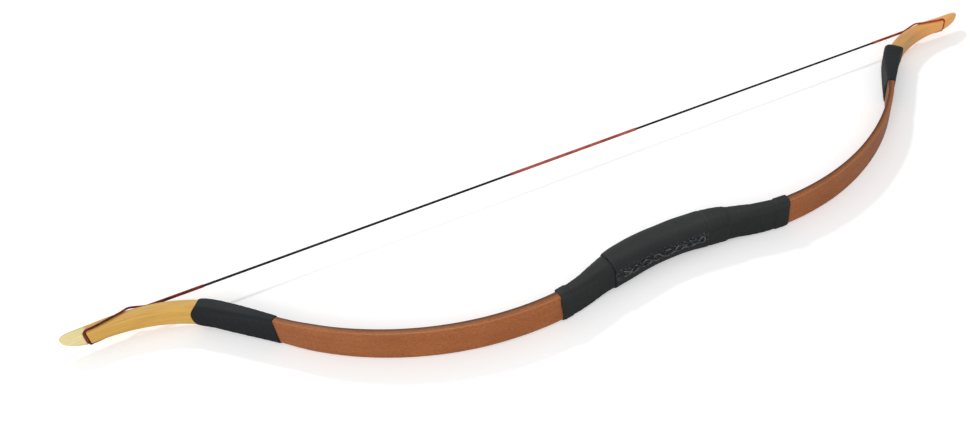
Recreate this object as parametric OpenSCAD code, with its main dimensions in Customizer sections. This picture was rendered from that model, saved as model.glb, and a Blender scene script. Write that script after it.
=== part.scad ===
// Laminated horse bow, strung, lying on its side.
// Two bending limbs and two stiff tip levers are set on a laced leather grip.
// X runs along the string towards the upper limb, Y is the way the string is drawn,
// Z is the width of the limbs. The bow rests on the floor, at the middle of its outline.

/* [Grip] */
// depth of the riser at its middle, measured along the draw
grip_depth = 34.5; // [28:0.5:38]
// width of the riser at its middle
grip_width = 29; // [24:0.5:34]
// half length of the stiff riser
riser_half = 110; // [100:1:120]
// thickness of the leather sleeve on the grip
grip_leather_t = 2.4; // [1.6:0.1:3.2]
// length of the leather sleeve on the lower side of the middle
grip_leather_lower = 76; // [66:1:84]
// length of the leather sleeve on the upper side of the middle
grip_leather_upper = 52; // [46:1:60]
// thickness of the cord wraps beside the grip
grip_wrap_t = 1.1; // [0.8:0.1:1.6]
// how much the doubled turns at the outer end of a grip wrap add
end_turn_t = 0.6; // [0.3:0.1:1]
// end of the lower grip wrap, from the middle
grip_wrap_lower = 148; // [138:1:160]
// end of the upper grip wrap, from the middle
grip_wrap_upper = 158; // [150:1:168]

/* [Lacing] */
// number of crossings of the grip lace
lace_crossings = 7; // [5:1:9]
// diameter of the grip lace
lace_d = 1.5; // [1:0.1:2]
// height of the laced seam above the middle of the width
lace_rise = 3; // [0:0.5:6]
// width of the laced seam
lace_span = 9; // [6:0.5:11]

/* [Profile of one half] */
// length of the arc over the grip
grip_arc = 104; // [96:1:112]
// how far the grip arc turns away from the archer, degrees
grip_turn = 20; // [17:0.5:23]
// length of the arc where the riser fades into the limb
fade_arc = 60; // [54:1:68]
// turn of the fade arc, degrees
fade_turn = 20; // [17:0.5:23]
// length of the inner arc of the limb
inner_arc = 122; // [112:1:134]
// turn of the inner arc, degrees
inner_turn = 22; // [19:0.2:25]
// length of the outer arc of the limb
outer_arc = 162; // [150:1:176]
// turn of the outer arc, degrees
outer_turn = 26; // [23:0.2:29]
// length of the nearly straight end of the limb, up to the knee
splice_len = 78; // [72:1:86]
// turn of the end of the limb, degrees
splice_turn = 2; // [0:0.5:4]
// length of the knee arc at the root of the tip lever
knee_arc = 75; // [68:1:82]
// turn of the knee arc, degrees
knee_turn = 30; // [27:0.5:33]
// length of the gentle bend after the knee
lever_arc = 53; // [47:1:59]
// turn of the gentle bend, degrees
lever_turn = 18; // [15:0.5:21]
// length of the end of the tip lever
lever_end = 44; // [38:1:50]
// how much the end of the lever turns back towards the string, degrees
end_turn = 10; // [7:0.5:13]

/* [Limb] */
// depth of the leather covered limb at its middle
limb_depth = 8.1; // [7.6:0.1:9.4]
// greatest width of the limb, at its middle
limb_width = 39.6; // [36:0.2:44]
// width of the limb where the tip lever begins
limb_end_width = 34.8; // [32:0.2:37]
// distance before the knee where the limb begins to narrow
taper_from = 113; // [104:1:124]
// distance before the knee of the thinnest part of the limb
thin_at = 72; // [66:1:76]
// depth of the limb where the tip lever begins
limb_end_depth = 8.6; // [8.2:0.1:9.4]
// thickness of the leather skin on the limb
skin_t = 1; // [0.8:0.1:1.2]
// thickness of the back lamination
back_lam_t = 1.2; // [0.8:0.1:1.5]
// thickness of the belly lamination
belly_lam_t = 1.2; // [0.8:0.1:1.5]

/* [Tip lever] */
// greatest depth of the tip lever
lever_depth = 18.5; // [16:0.5:21]
// width of the straight part of the tip lever
lever_width = 18.2; // [16:0.2:20]
// depth of the tip lever at the string notch
nock_depth = 15.4; // [13.6:0.2:17]
// length of the nose beyond the notch
nose_len = 30; // [24:1:36]
// thickness of the wrap over the root of the tip lever
tip_wrap_t = 1.2; // [0.8:0.1:1.6]

/* [String] */
// diameter of the bare strands
string_d = 2.9; // [2.4:0.1:3.4]
// diameter over the middle serving
serving_d = 4; // [3.6:0.1:4.6]
// end of the middle serving on the lower side
serving_lower = 101; // [90:1:115]
// end of the middle serving on the upper side
serving_upper = 78; // [70:1:95]
// diameter of the served loop legs
loop_d = 2.3; // [2:0.1:2.6]
// diameter of the served single stretch behind the loop
loop_serving_d = 3.8; // [3.5:0.1:4.2]
// length of the served single stretch, up to the point where the legs part
loop_serving_len = 60; // [45:1:75]
// distance from the notch to the point where the legs part
loop_len = 62; // [58:1:70]

/* [Clearances] */
// gap between pieces of different moving bodies
move_gap = 0.35; // [0.3:0.05:0.6]
// glue line between the layers of a limb
glue_gap = 0.05; // [0.03:0.01:0.1]
// room between a fixed sleeve or wrap and what it covers
seat_gap = 0.3; // [0.25:0.05:0.4]

/* [Hidden] */

// the half profile is a chain of arcs, each with a length and a turn
arc_len = [grip_arc, fade_arc, inner_arc, outer_arc, splice_len, knee_arc, lever_arc, lever_end];
arc_turn = [-grip_turn, fade_turn, inner_turn, outer_turn, -splice_turn, -knee_turn, -lever_turn, end_turn];
// one step along an arc: position and heading after a length l of an arc that turns by a
function along(p, l, a) = abs(a) < 0.001
  ? [p[0] + l * cos(p[2]), p[1] + l * sin(p[2]), p[2]]
  : let (r = l / (a * PI / 180))
    [p[0] + r * (sin(p[2] + a) - sin(p[2])), p[1] - r * (cos(p[2] + a) - cos(p[2])), p[2] + a];
// start of each arc: x, y, heading and distance run
starts = [for (i = 0, p = [0, 0, 0], d = 0; i <= 8;
  p = i < 8 ? along(p, arc_len[i], arc_turn[i]) : p,
  d = i < 8 ? d + arc_len[i] : d, i = i + 1) [p[0], p[1], p[2], d]];
function arc_of(s, i = 0) = i >= 7 || s < starts[i + 1][3] ? i : arc_of(s, i + 1);
// position and heading at the distance s along the half profile
function at(s) = let (i = arc_of(s), u = s - starts[i][3])
  along(starts[i], u, arc_turn[i] * u / arc_len[i]);
// a point beside the profile: n along the normal towards the string, z across the width
function point(s, n, z) = let (p = at(abs(s)), g = s < 0 ? -1 : 1)
  [g * (p[0] - n * sin(p[2])), p[1] + n * cos(p[2]), z];

// stations along one half
s_fade = grip_arc + fade_arc;
s_mid = s_fade + inner_arc;
s_knee = s_mid + outer_arc + splice_len;
s_tip = s_knee + knee_arc + lever_arc + lever_end;
s_nock = s_tip - nose_len;
s_splice = s_knee - 56;
s_wrap_out = s_knee + 29;
wrap_in_upper = s_knee - 68;
wrap_in_lower = s_knee - 70;

// depth and width of the bare body: riser, then leather covered limb, then tip lever
depth_of = [[0, grip_depth], [50, grip_depth * 0.93], [60, grip_depth * 0.895],
  [grip_leather_lower, grip_depth * 0.79], [91, grip_depth * 0.64],
  [riser_half, grip_depth * 0.475], [126, limb_depth * 1.7], [144, limb_depth * 1.36],
  [s_fade + 7, limb_depth * 1.27], [s_mid - 60, limb_depth * 1.14], [s_mid, limb_depth],
  [s_knee - taper_from, limb_end_depth - 1.2], [s_knee - thin_at, limb_end_depth - 1.4],
  [s_splice, limb_end_depth], [s_knee - 31, lever_depth * 0.645], [s_knee - 11, lever_depth * 0.775],
  [s_knee + 8, lever_depth * 0.86], [s_wrap_out, lever_depth * 0.93],
  [s_knee + 43, lever_depth * 0.965], [s_knee + 64, lever_depth],
  [s_knee + 84, lever_depth * 0.99], [s_nock - 33, nock_depth + 1.6],
  [s_nock - 12, nock_depth + 0.6], [s_nock, nock_depth], [s_tip, nock_depth]];
width_of = [[0, grip_width], [50, grip_width * 1.14], [60, grip_width * 1.18],
  [grip_leather_lower, grip_width * 1.21], [91, grip_width * 1.23],
  [riser_half, limb_width * 0.935], [144, limb_width * 0.94], [s_fade + 7, limb_width * 0.948],
  [s_mid - 60, limb_width * 0.975], [s_mid, limb_width], [s_knee - taper_from, limb_width * 0.99],
  [s_knee - taper_from + 21, limb_width * 0.955], [s_knee - thin_at, limb_end_width + 1.4],
  [s_splice, limb_end_width], [s_knee - 31, limb_end_width * 0.94], [s_knee - 11, limb_end_width * 0.895],
  [s_knee + 8, lever_width * 1.6], [s_wrap_out, lever_width * 1.44],
  [s_knee + 43, lever_width * 1.33], [s_knee + 64, lever_width * 1.2],
  [s_knee + 84, lever_width * 1.1], [s_nock - 30, lever_width], [s_nock, lever_width * 0.95],
  [s_tip, lever_width * 0.8]];
// radius of the rounded corners of the body
round_of = [[0, 9.5], [grip_leather_lower, 8.5], [riser_half, 4.6], [152, 2.2], [s_mid, 2],
  [s_splice, 2], [s_wrap_out, 4.6], [s_knee + 84, 4.6], [s_nock, 4.2], [s_tip, 4.2]];
function depth(s) = lookup(abs(s), depth_of);
function width(s) = lookup(abs(s), width_of);
function round_r(s) = lookup(abs(s), round_of);
function ramp(s, a, b) = min(1, max(0, (s - a) / (b - a)));

// height of the middle plane: the widest wrap or limb touches the floor
mid_z = max(
  max([for (s = [120:4:s_knee - 60]) width(s) / 2]),
  (width(grip_wrap_lower) / 2) + grip_wrap_t + end_turn_t,
  (width(grip_wrap_upper) / 2) + grip_wrap_t + end_turn_t);
// the string lies along the flattened face of both tip levers
string_y = max([for (s = [s_wrap_out + 40:4:s_nock - 12]) point(s, depth(s) / 2, 0)[1]])
  + loop_serving_d / 2 + 0.3;
nock = point(s_nock, -nock_depth / 2 + loop_d + 0.3, 0);
y_low = min([for (s = [100:3:s_mid]) point(s, -depth(s) / 2
  - (s < grip_wrap_upper ? grip_wrap_t + (s > grip_wrap_lower - 18 ? end_turn_t : 0) : 0), 0)[1]]);
y_high = string_y + serving_d / 2;
y_move = -(y_low + y_high) / 2;
x_part = nock[0] - loop_len;
x_served = x_part - loop_serving_len;

// evenly spaced stations
function steps(a, b, d) = let (n = max(1, ceil(abs(b - a) / d))) [for (i = [0:n]) a + (b - a) * i / n];
// a rounded rectangle as points of normal offset and height, twelve or sixteen to a ring
function ring(w, t, r, k = 3) = let (q = min(r, w / 2 - 0.05, t / 2 - 0.05))
  [for (c = [[1, 1, 0], [-1, 1, 90], [-1, -1, 180], [1, -1, 270]]) for (i = [0:k - 1])
    let (a = c[2] + 90 * i / (k - 1)) [c[0] * (t / 2 - q) + q * cos(a), c[1] * (w / 2 - q) + q * sin(a)]];
// rings along the half profile: the section grows by g over the bare body
function body_rings(ss, g, k = 3) = [for (i = [0:len(ss) - 1]) let (s = ss[i])
  [for (p = ring(width(s) + 2 * g[i], depth(s) + 2 * g[i], max(0.3, round_r(s) + g[i]), k))
    point(s, p[0], p[1])]];
// a lamination: a band between two offsets across the normal
function band_rings(ss, lo, hi, w) = [for (i = [0:len(ss) - 1])
  [for (p = [[hi[i], w[i] / 2], [lo[i], w[i] / 2], [lo[i], -w[i] / 2], [hi[i], -w[i] / 2]])
    point(ss[i], p[0], p[1])]];

// skin of quads, each cut in two, between two neighbouring rings
function side_faces(n, m, o, flip) = [for (i = [0:n - 2]) for (j = [0:m - 1])
  let (a = o + i * m + j, b = o + i * m + (j + 1) % m, c = b + m, d = a + m)
  each (flip ? [[a, b, c], [a, c, d]] : [[c, b, a], [d, c, a]])];
// a closed solid through rings
module skin(rings, flip = false) {
  n = len(rings);
  m = len(rings[0]);
  cap0 = [for (j = [1:m - 2]) flip ? [0, j + 1, j] : [0, j, j + 1]];
  cap1 = [for (j = [1:m - 2]) let (o = (n - 1) * m) flip ? [o, o + j, o + j + 1] : [o + j + 1, o + j, o]];
  polyhedron(points = [for (r = rings) each r],
    faces = concat(cap0, cap1, side_faces(n, m, 0, flip)), convexity = 8);
}
// a closed sleeve between outer and inner rings
module sleeve(outer, inner) {
  n = len(outer);
  m = len(outer[0]);
  o = n * m;
  e = (n - 1) * m;
  ends = [for (j = [0:m - 1]) let (k = (j + 1) % m)
    each [[o + j, j, k], [o + j, k, o + k], [e + j, o + e + j, o + e + k], [e + j, o + e + k, e + k]]];
  polyhedron(points = concat([for (r = outer) each r], [for (r = inner) each r]),
    faces = concat(side_faces(n, m, 0, false), side_faces(n, m, o, true), ends), convexity = 8);
}

// smooth route through given points, k steps for each stretch
function spline(p, k) = let (n = len(p)) concat([for (i = [0:n - 2]) for (j = [0:k - 1])
  let (u = j / k, a = p[max(0, i - 1)], b = p[i], c = p[i + 1], d = p[min(n - 1, i + 2)])
  ((-a + 3 * b - 3 * c + d) * pow(u, 3) + (2 * a - 5 * b + 4 * c - d) * u * u + (c - a) * u + 2 * b) / 2],
  [p[n - 1]]);
function unit(v) = v / norm(v);
// a round cord along a route, with rings that do not twist
module cord(route, r, sides = 8) {
  n = len(route);
  t = [for (i = [0:n - 1]) unit(route[min(n - 1, i + 1)] - route[max(0, i - 1)])];
  u = [for (i = 0, v = unit(cross(t[0], [0.31, 0.87, 0.38])); i < n;
    i = i + 1, v = i < n ? unit(v - t[i] * (v * t[i])) : v) v];
  skin([for (i = [0:n - 1]) let (w = cross(t[i], u[i]))
    [for (j = [0:sides - 1]) route[i] + r * (cos(360 * j / sides) * u[i] + sin(360 * j / sides) * w)]]);
}

// places the whole bow over the floor
module placed() translate([0, y_move, mid_z]) children();
// the lower half is the mirror of the upper half
module half(side) if (side > 0) children(); else mirror([1, 0, 0]) children();

// stiff wooden block in the grip
module riser() placed() color([0.62, 0.42, 0.22]) {
  ss = steps(-riser_half, riser_half, 11);
  skin(body_rings(ss, [for (s = ss) 0], 4));
}

// outer face of the grip leather, as a normal offset at a height z
function leather_face(s, z) = let (w = width(s) / 2 + grip_leather_t, t = depth(s) / 2 + grip_leather_t,
  r = round_r(s) + grip_leather_t, e = abs(z) - (w - r)) e <= 0 ? t : t - r + sqrt(max(0, r * r - e * e));
module grip_leather() placed() color([0.10, 0.11, 0.11]) {
  ss = steps(-grip_leather_lower, grip_leather_upper, 10);
  g = [for (s = ss) grip_leather_t];
  sleeve(body_rings(ss, g, 4), body_rings(ss, [for (s = ss) seat_gap], 4));
}

// one lace runs out in a zigzag and comes back over itself
lace_s0 = -grip_leather_lower + 8;
lace_s1 = grip_leather_upper - 8;
lace_pitch = (lace_s1 - lace_s0) / lace_crossings;
function lace_point(s, f, lift) = let (z = lace_rise + f * lace_span / 2)
  point(s, -leather_face(s, z) - lace_d / 2 - 0.3 - lift, z);
lace_out = [for (i = [0:lace_crossings]) each concat(
  [lace_point(lace_s0 + i * lace_pitch, i % 2 == 0 ? 1 : -1, 0)],
  i < lace_crossings ? [lace_point(lace_s0 + (i + 0.5) * lace_pitch, 0, 0.25)] : [])];
lace_back = [for (i = [lace_crossings:-1:0]) each concat(
  [lace_point(lace_s0 + i * lace_pitch + 0.6, i % 2 == 0 ? -1 : 1, 0)],
  i > 0 ? [lace_point(lace_s0 + (i - 0.5) * lace_pitch, 0, lace_d + 0.5)] : [])];
module grip_lacing() placed() color([0.07, 0.07, 0.08]) {
  turn = lace_point(lace_s1 + 3.5, lace_crossings % 2 == 0 ? 0.2 : -0.2, 0.2);
  cord(spline(concat(lace_out, [turn], lace_back), 3), lace_d / 2, 6);
}

// wound wrap from the end of the grip leather out over the root of the limb
module grip_wrap(from, to, side) placed() half(side) color([0.13, 0.14, 0.14]) {
  ss = concat(steps(from + glue_gap, to - 20, 9), steps(to - 18, to, 9));
  g = [for (s = ss) grip_wrap_t + end_turn_t * ramp(s, to - 20, to - 18)];
  sleeve(body_rings(ss, g, 4), body_rings(ss, [for (s = ss) move_gap], 4));
}
module upper_grip_wrap() grip_wrap(grip_leather_upper, grip_wrap_upper, 1);
module lower_grip_wrap() grip_wrap(grip_leather_lower, grip_wrap_lower, -1);

// the three layers of a bending limb and its leather skin
limb_ss = steps(riser_half + move_gap, s_splice - move_gap, 15);
core_half = [for (s = limb_ss) depth(s) / 2 - skin_t - glue_gap];
core_w = [for (s = limb_ss) width(s) - 2 * max(skin_t, round_r(s)) - 0.1];
module limb_core(side) placed() half(side) color([0.70, 0.52, 0.30])
  skin(band_rings(limb_ss, [for (h = core_half) -h + back_lam_t],
    [for (h = core_half) h - belly_lam_t], core_w));
module back_lamination(side) placed() half(side) color([0.80, 0.68, 0.42])
  skin(band_rings(limb_ss, [for (h = core_half) -h],
    [for (h = core_half) -h + back_lam_t - glue_gap], core_w));
module belly_lamination(side) placed() half(side) color([0.80, 0.68, 0.42])
  skin(band_rings(limb_ss, [for (h = core_half) h - belly_lam_t + glue_gap],
    [for (h = core_half) h], core_w));
module limb_leather(side) placed() half(side) color([0.62, 0.36, 0.22])
  sleeve(body_rings(limb_ss, [for (s = limb_ss) 0], 3),
    body_rings(limb_ss, [for (s = limb_ss) -skin_t], 3));
module upper_limb_core() limb_core(1);
module lower_limb_core() limb_core(-1);
module upper_back_lamination() back_lamination(1);
module lower_back_lamination() back_lamination(-1);
module upper_belly_lamination() belly_lamination(1);
module lower_belly_lamination() belly_lamination(-1);
module upper_limb_leather() limb_leather(1);
module lower_limb_leather() limb_leather(-1);

// stiff wooden lever: grows out of the splice, bends at the knee and ends in a rounded nose
nose_cuts = [[0.3, 1, 0.89, 0.6], [0.55, 0.95, 0.76, 1.5], [0.78, 0.82, 0.58, 2.5],
  [0.93, 0.6, 0.38, 3.4], [1, 0.32, 0.2, 4]];
module tip_lever(side) placed() half(side) color([0.80, 0.62, 0.34]) {
  ss = steps(s_splice, s_nock, 10);
  body = body_rings(ss, [for (s = ss) 0], 4);
  nose = [for (c = nose_cuts) let (s = s_nock + nose_len * c[0])
    [for (p = ring(width(s) * c[1], nock_depth * c[2], 4.2 * c[2], 4)) point(s, p[0] + c[3], p[1])]];
  difference() {
    skin(concat(body, nose));
    // notch across the back, a running fit round the loop
    translate([nock[0], nock[1], -lever_width])
      cylinder(h = 2 * lever_width, r = loop_d / 2 + 0.7, $fn = 20);
    translate([nock[0] - loop_d / 2 - 0.7, nock[1] - 8, -lever_width])
      cube([loop_d + 1.4, 8, 2 * lever_width]);
  }
}
module upper_tip_lever() tip_lever(1);
module lower_tip_lever() tip_lever(-1);

// wrap over the splice, thickest at the root of the lever and rounded off at the outer end
module tip_wrap(side, from) placed() half(side) color([0.13, 0.14, 0.14]) {
  ss = concat(steps(from, s_wrap_out - 6, 10), [s_wrap_out - 3, s_wrap_out]);
  g = [for (s = ss) tip_wrap_t - 0.55 * ramp(s, s_wrap_out - 6, s_wrap_out)];
  sleeve(body_rings(ss, g, 4), body_rings(ss, [for (s = ss) move_gap], 4));
}
module upper_tip_wrap() tip_wrap(1, wrap_in_upper);
module lower_tip_wrap() tip_wrap(-1, wrap_in_lower);

// a straight round stretch of string between two places on X
module stretch(a, b, d) translate([a, string_y, 0]) rotate([0, 90, 0]) cylinder(h = b - a, d = d, $fn = 24);
module string_strands(side, from) placed() half(side) color([0.16, 0.13, 0.14])
  stretch(from + glue_gap, x_served - glue_gap, string_d);
module upper_string_strands() string_strands(1, serving_upper + move_gap);
module lower_string_strands() string_strands(-1, serving_lower + move_gap);
module loop_serving(side) placed() half(side) color([0.60, 0.10, 0.09])
  stretch(x_served, x_part, loop_serving_d);
module upper_loop_serving() loop_serving(1);
module lower_loop_serving() loop_serving(-1);

// the loop: two legs part in front of the lever, pass its sides and meet in the notch
leg_z = lever_width / 2 + loop_d / 2 + move_gap + 0.1;
function leg(g) = [[x_part + 0.3, string_y, g * (loop_d / 2 + 0.1)],
  [x_part + 4, string_y, g * (loop_d / 2 + 0.5)],
  [x_part + 16, string_y - 0.1, g * 6.2],
  [x_part + 28, string_y - 0.6, g * (leg_z - 0.4)],
  point(s_nock - 19.5, 2.2, g * (leg_z + 0.1)),
  point(s_nock - 9, -1.8, g * leg_z),
  [nock[0] - 3.4, nock[1] + 1, g * leg_z],
  [nock[0] - 0.2, nock[1], g * (lever_width / 2 - 0.6)]];
module string_loop(side) placed() half(side) color([0.48, 0.08, 0.07]) {
  a = leg(1);
  b = leg(-1);
  cord(spline(concat(a, [[nock[0], nock[1], 0]], [for (i = [len(b) - 1:-1:0]) b[i]]), 3), loop_d / 2);
}
module upper_string_loop() string_loop(1);
module lower_string_loop() string_loop(-1);

// strands under the middle serving, and the serving wound round them
module string_middle() placed() color([0.16, 0.13, 0.14])
  stretch(-serving_lower, serving_upper, string_d - 0.1);
module middle_serving() placed() color([0.72, 0.16, 0.12]) difference() {
  stretch(-serving_lower, serving_upper, serving_d);
  stretch(-serving_lower - 1, serving_upper + 1, string_d);
}

riser();
grip_leather();
grip_lacing();
upper_grip_wrap();
lower_grip_wrap();
upper_limb_core();
upper_back_lamination();
upper_belly_lamination();
upper_limb_leather();
lower_limb_core();
lower_back_lamination();
lower_belly_lamination();
lower_limb_leather();
upper_tip_lever();
upper_tip_wrap();
lower_tip_lever();
lower_tip_wrap();
upper_string_strands();
upper_loop_serving();
upper_string_loop();
lower_string_strands();
lower_loop_serving();
lower_string_loop();
string_middle();
middle_serving();
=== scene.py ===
import bpy, math
from mathutils import Matrix, Vector, noise


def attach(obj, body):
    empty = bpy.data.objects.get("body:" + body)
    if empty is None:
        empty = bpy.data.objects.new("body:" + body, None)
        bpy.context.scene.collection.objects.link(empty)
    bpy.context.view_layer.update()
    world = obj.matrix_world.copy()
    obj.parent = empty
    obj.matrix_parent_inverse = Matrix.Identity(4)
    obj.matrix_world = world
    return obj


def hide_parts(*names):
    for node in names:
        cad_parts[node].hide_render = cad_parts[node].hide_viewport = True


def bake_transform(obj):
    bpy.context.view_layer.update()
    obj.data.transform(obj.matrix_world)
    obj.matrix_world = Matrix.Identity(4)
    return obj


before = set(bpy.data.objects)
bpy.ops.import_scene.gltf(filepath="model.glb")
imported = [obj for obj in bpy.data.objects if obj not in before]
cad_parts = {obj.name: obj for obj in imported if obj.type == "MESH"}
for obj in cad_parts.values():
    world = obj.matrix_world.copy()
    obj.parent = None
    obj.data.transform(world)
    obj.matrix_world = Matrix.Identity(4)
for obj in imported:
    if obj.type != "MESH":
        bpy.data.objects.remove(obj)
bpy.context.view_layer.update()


# View
# The photograph looks down on the back of the bow from the left, at about 43 degrees.
# It is cut from a wider picture, so its lens axis lies right of the middle: that is the shift.
PHOTO_PIXELS = 979
FOCAL_PIXELS = 966.6
SENSOR_MM = 36
LENS_SHIFT = -0.16
CAMERA_PLACE = (-0.4012, -0.7657, 0.8033)
azimuth, elevation, roll = (math.radians(angle) for angle in (-29.17, 43.09, -0.98))
to_camera = Vector((math.sin(azimuth) * math.cos(elevation), -math.cos(azimuth) * math.cos(elevation),
                    math.sin(elevation)))
level_right = Vector((0, 0, 1)).cross(to_camera).normalized()
level_up = to_camera.cross(level_right)
right = math.cos(roll) * level_right + math.sin(roll) * level_up
up = -math.sin(roll) * level_right + math.cos(roll) * level_up
camera = bpy.data.objects.new("camera", bpy.data.cameras.new("camera"))
camera.data.sensor_width = SENSOR_MM
camera.data.lens = SENSOR_MM * FOCAL_PIXELS / PHOTO_PIXELS
camera.data.shift_x = LENS_SHIFT
camera.data.clip_start = 0.01
camera.data.clip_end = 50
camera.matrix_world = (Matrix.Translation(CAMERA_PLACE)
                       @ Matrix((right, up, to_camera)).transposed().to_4x4())
bpy.context.scene.collection.objects.link(camera)
bpy.context.scene.camera = camera


# Table and light
# A white table top of coated board under a lamp that hangs behind the bow on the left, so that the
# shadows fall to the front and to the right. A wide soft lamp and white light all round fill them.
TABLE_HALF = 6


def add_node(tree, kind, **given):
    """A node. A name that is a setting is set. A name that is a socket, or _0, _1, is set or linked."""
    node = tree.nodes.new(kind)
    for name, value in given.items():
        if name in node.bl_rna.properties:
            setattr(node, name, value)
    for name, value in given.items():
        if name in node.bl_rna.properties:
            continue
        socket = node.inputs[int(name[1:]) if name[1:].isdigit() else name.replace("_", " ")]
        if isinstance(value, bpy.types.NodeSocket):
            tree.links.new(value, socket)
        else:
            socket.default_value = value
    return node


def mapped(tree, value, low, high, to_low=0.0, to_high=1.0):
    """A value stretched from one range to another and held there."""
    node = add_node(tree, "ShaderNodeMapRange", _0=value, _1=low, _2=high, _3=to_low, _4=to_high)
    return node.outputs[0]


def seen_directly(tree, plain, shown):
    """One shader for the light that reaches the bow, another for what the camera sees."""
    direct = add_node(tree, "ShaderNodeLightPath").outputs["Is Camera Ray"]
    return add_node(tree, "ShaderNodeMixShader", _0=direct, _1=plain, _2=shown).outputs[0]


def lamp(name, place, width, watts):
    """A round lamp that faces the middle of the table."""
    light = bpy.data.lights.new(name, "AREA")
    light.shape = "DISK"
    light.size = width
    light.energy = watts
    holder = bpy.data.objects.new(name, light)
    holder.location = place
    holder.rotation_euler = (-Vector(place)).to_track_quat("-Z", "Y").to_euler()
    bpy.context.scene.collection.objects.link(holder)


def white_board():
    """White board that glows a little for the camera, and more so further away, to stay white there."""
    made = bpy.data.materials.new("white_table")
    made.use_nodes = True
    tree = made.node_tree
    tree.nodes.clear()
    lit = add_node(tree, "ShaderNodeBsdfDiffuse", Color=(0.86, 0.86, 0.86, 1)).outputs[0]
    place = add_node(tree, "ShaderNodeTexCoord").outputs["Object"]
    distance = add_node(tree, "ShaderNodeVectorMath", operation="LENGTH", _0=place).outputs["Value"]
    strength = mapped(tree, distance, 1.0, 2.6, 0.24, 0.5)
    glow = add_node(tree, "ShaderNodeEmission", Color=(1, 1, 1, 1), Strength=strength).outputs[0]
    both = add_node(tree, "ShaderNodeAddShader", _0=lit, _1=glow).outputs[0]
    add_node(tree, "ShaderNodeOutputMaterial", Surface=seen_directly(tree, lit, both))
    return made


lamp("window", (-0.3, 3.0, 3.0), width=0.35, watts=55)
lamp("soft_fill", (-1.5, -1.7, 1.4), width=1.6, watts=32)

table = bpy.data.meshes.new("table")
table.from_pydata([(x * TABLE_HALF, y * TABLE_HALF, 0) for x, y in ((-1, -1), (1, -1), (1, 1), (-1, 1))],
                  [], [(0, 1, 2, 3)])
table.materials.append(white_board())
table_top = bpy.data.objects.new("table", table)
bpy.context.scene.collection.objects.link(table_top)

world = bpy.data.worlds.new("studio")
bpy.context.scene.world = world
world.use_nodes = True
world.node_tree.nodes.clear()
ambient, paper = (add_node(world.node_tree, "ShaderNodeBackground", Color=(1, 1, 1, 1),
                           Strength=strength).outputs[0] for strength in (0.62, 1))
add_node(world.node_tree, "ShaderNodeOutputWorld", Surface=seen_directly(world.node_tree, ambient, paper))
bpy.context.scene.view_settings.view_transform = "Standard"


# Riser
# The stiff block in the grip, sawn from close brown hardwood and oiled.
# The leather and the wraps hide it, so the CAD node stays and only gets its wood.
def new_finish(name, **sockets):
    """A material with one glossy shader: gives back the material, its tree and the shader."""
    made = bpy.data.materials.new(name)
    made.use_nodes = True
    made.node_tree.nodes.clear()
    shader = add_node(made.node_tree, "ShaderNodeBsdfPrincipled", **sockets)
    add_node(made.node_tree, "ShaderNodeOutputMaterial", Surface=shader.outputs[0])
    return made, made.node_tree, shader


def mixed(tree, factor, one, two):
    """Two colours or colour sockets mixed."""
    node = add_node(tree, "ShaderNodeMix", data_type="RGBA", _0=factor)
    for socket, value in ((node.inputs[6], one), (node.inputs[7], two)):
        if isinstance(value, bpy.types.NodeSocket):
            tree.links.new(value, socket)
        else:
            socket.default_value = (*value, 1)
    return node.outputs[2]


def stretched(tree, vector, scale):
    """Places scaled apart for each axis."""
    return add_node(tree, "ShaderNodeMapping", Vector=vector, Scale=scale).outputs[0]


def speckle(tree, vector, scale, detail=3.0, rough=0.55):
    """Cloudy noise from 0 to 1."""
    node = add_node(tree, "ShaderNodeTexNoise", Vector=vector, Scale=scale, Detail=detail, Roughness=rough)
    return node.outputs[0]


def raised(tree, shader, height, strength, depth, normal=None):
    """Bump from a height of 0 to 1 that stands depth metres high, over an earlier one where given."""
    node = add_node(tree, "ShaderNodeBump", Strength=strength, Distance=depth, Height=height)
    if normal:
        tree.links.new(normal, node.inputs["Normal"])
    tree.links.new(node.outputs[0], shader.inputs["Normal"])
    return node.outputs[0]


def wood(name, pale, dark, along):
    """Wood grain that runs along one axis of the object."""
    made, tree, shader = new_finish(name)
    place = add_node(tree, "ShaderNodeTexCoord").outputs["Object"]
    lines = speckle(tree, stretched(tree, place, along), 60, 5, 0.6)
    tree.links.new(mixed(tree, mapped(tree, lines, 0.35, 0.68), pale, dark), shader.inputs["Base Color"])
    tree.links.new(mapped(tree, lines, 0, 1, 0.45, 0.62), shader.inputs["Roughness"])
    raised(tree, shader, lines, strength=0.3, depth=0.0002)
    return made


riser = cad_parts["riser"]
riser.data.materials.clear()
riser.data.materials.append(wood("riser_wood", pale=(0.42, 0.24, 0.11), dark=(0.26, 0.13, 0.055),
                                 along=(1, 12, 12)))


# Grip leather
# A sleeve of black leather, 2.4 mm thick, drawn wet round the riser.
# Its two edges meet in a seam along the back, which the lace pulls up into low lips.
SLEEVE_FROM = -76.0
SLEEVE_TO = 52.0
SLEEVE_MIDDLE = (SLEEVE_FROM + SLEEVE_TO) / 2
SLEEVE_THICK = 2.4
PARED_EDGE = 2.0
SEAM_AT = 3.0

# How far the inner faces of the leather stay off what they cover.
CLEAR = 0.35

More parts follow.
